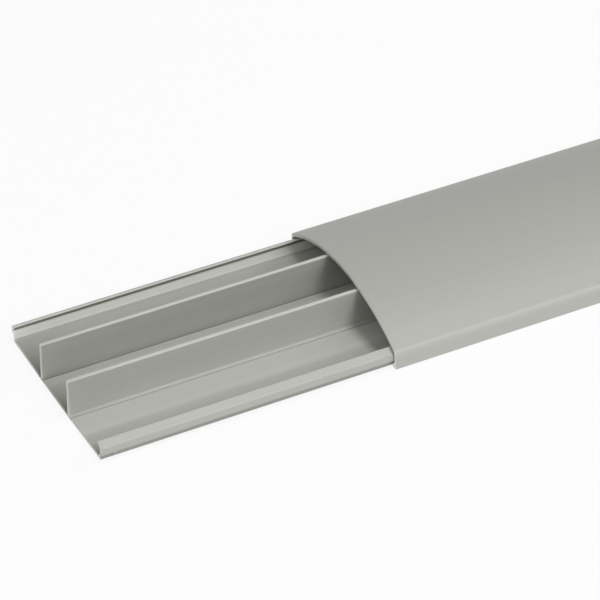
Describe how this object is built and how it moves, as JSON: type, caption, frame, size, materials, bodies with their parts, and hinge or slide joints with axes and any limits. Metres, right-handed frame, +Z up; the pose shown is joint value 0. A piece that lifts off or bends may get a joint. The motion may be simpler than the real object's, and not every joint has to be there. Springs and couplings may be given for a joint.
{
  "type": "floor cord cover",
  "caption": "Straight floor cord cover in grey plastic: a flat base with upright dividers between cable channels, and an arched cover that snaps over its edge lips, shown slid back a little.",
  "frame": {"origin": "middle of the underside of the base plate", "axes": "+X along the length, towards the end where the cover stands past the base; +Y across the width; +Z up, from the floor to the crown of the cover"},
  "size_m": [2.102, 0.075, 0.0175],
  "materials": {
    "base_pvc": "satin grey PVC with faint lengthwise extrusion lines",
    "cover_pvc": "smooth satin grey PVC"
  },
  "bodies": {
    "base": {"base": "base_pvc"},
    "cover": {"cover": "cover_pvc"}
  },
  "joints": [
    {"name": "cover_slide", "type": "slide", "parent": "base", "child": "cover", "axis": [1, 0, 0], "range_m": [-0.102, 1.9]}
  ]
}
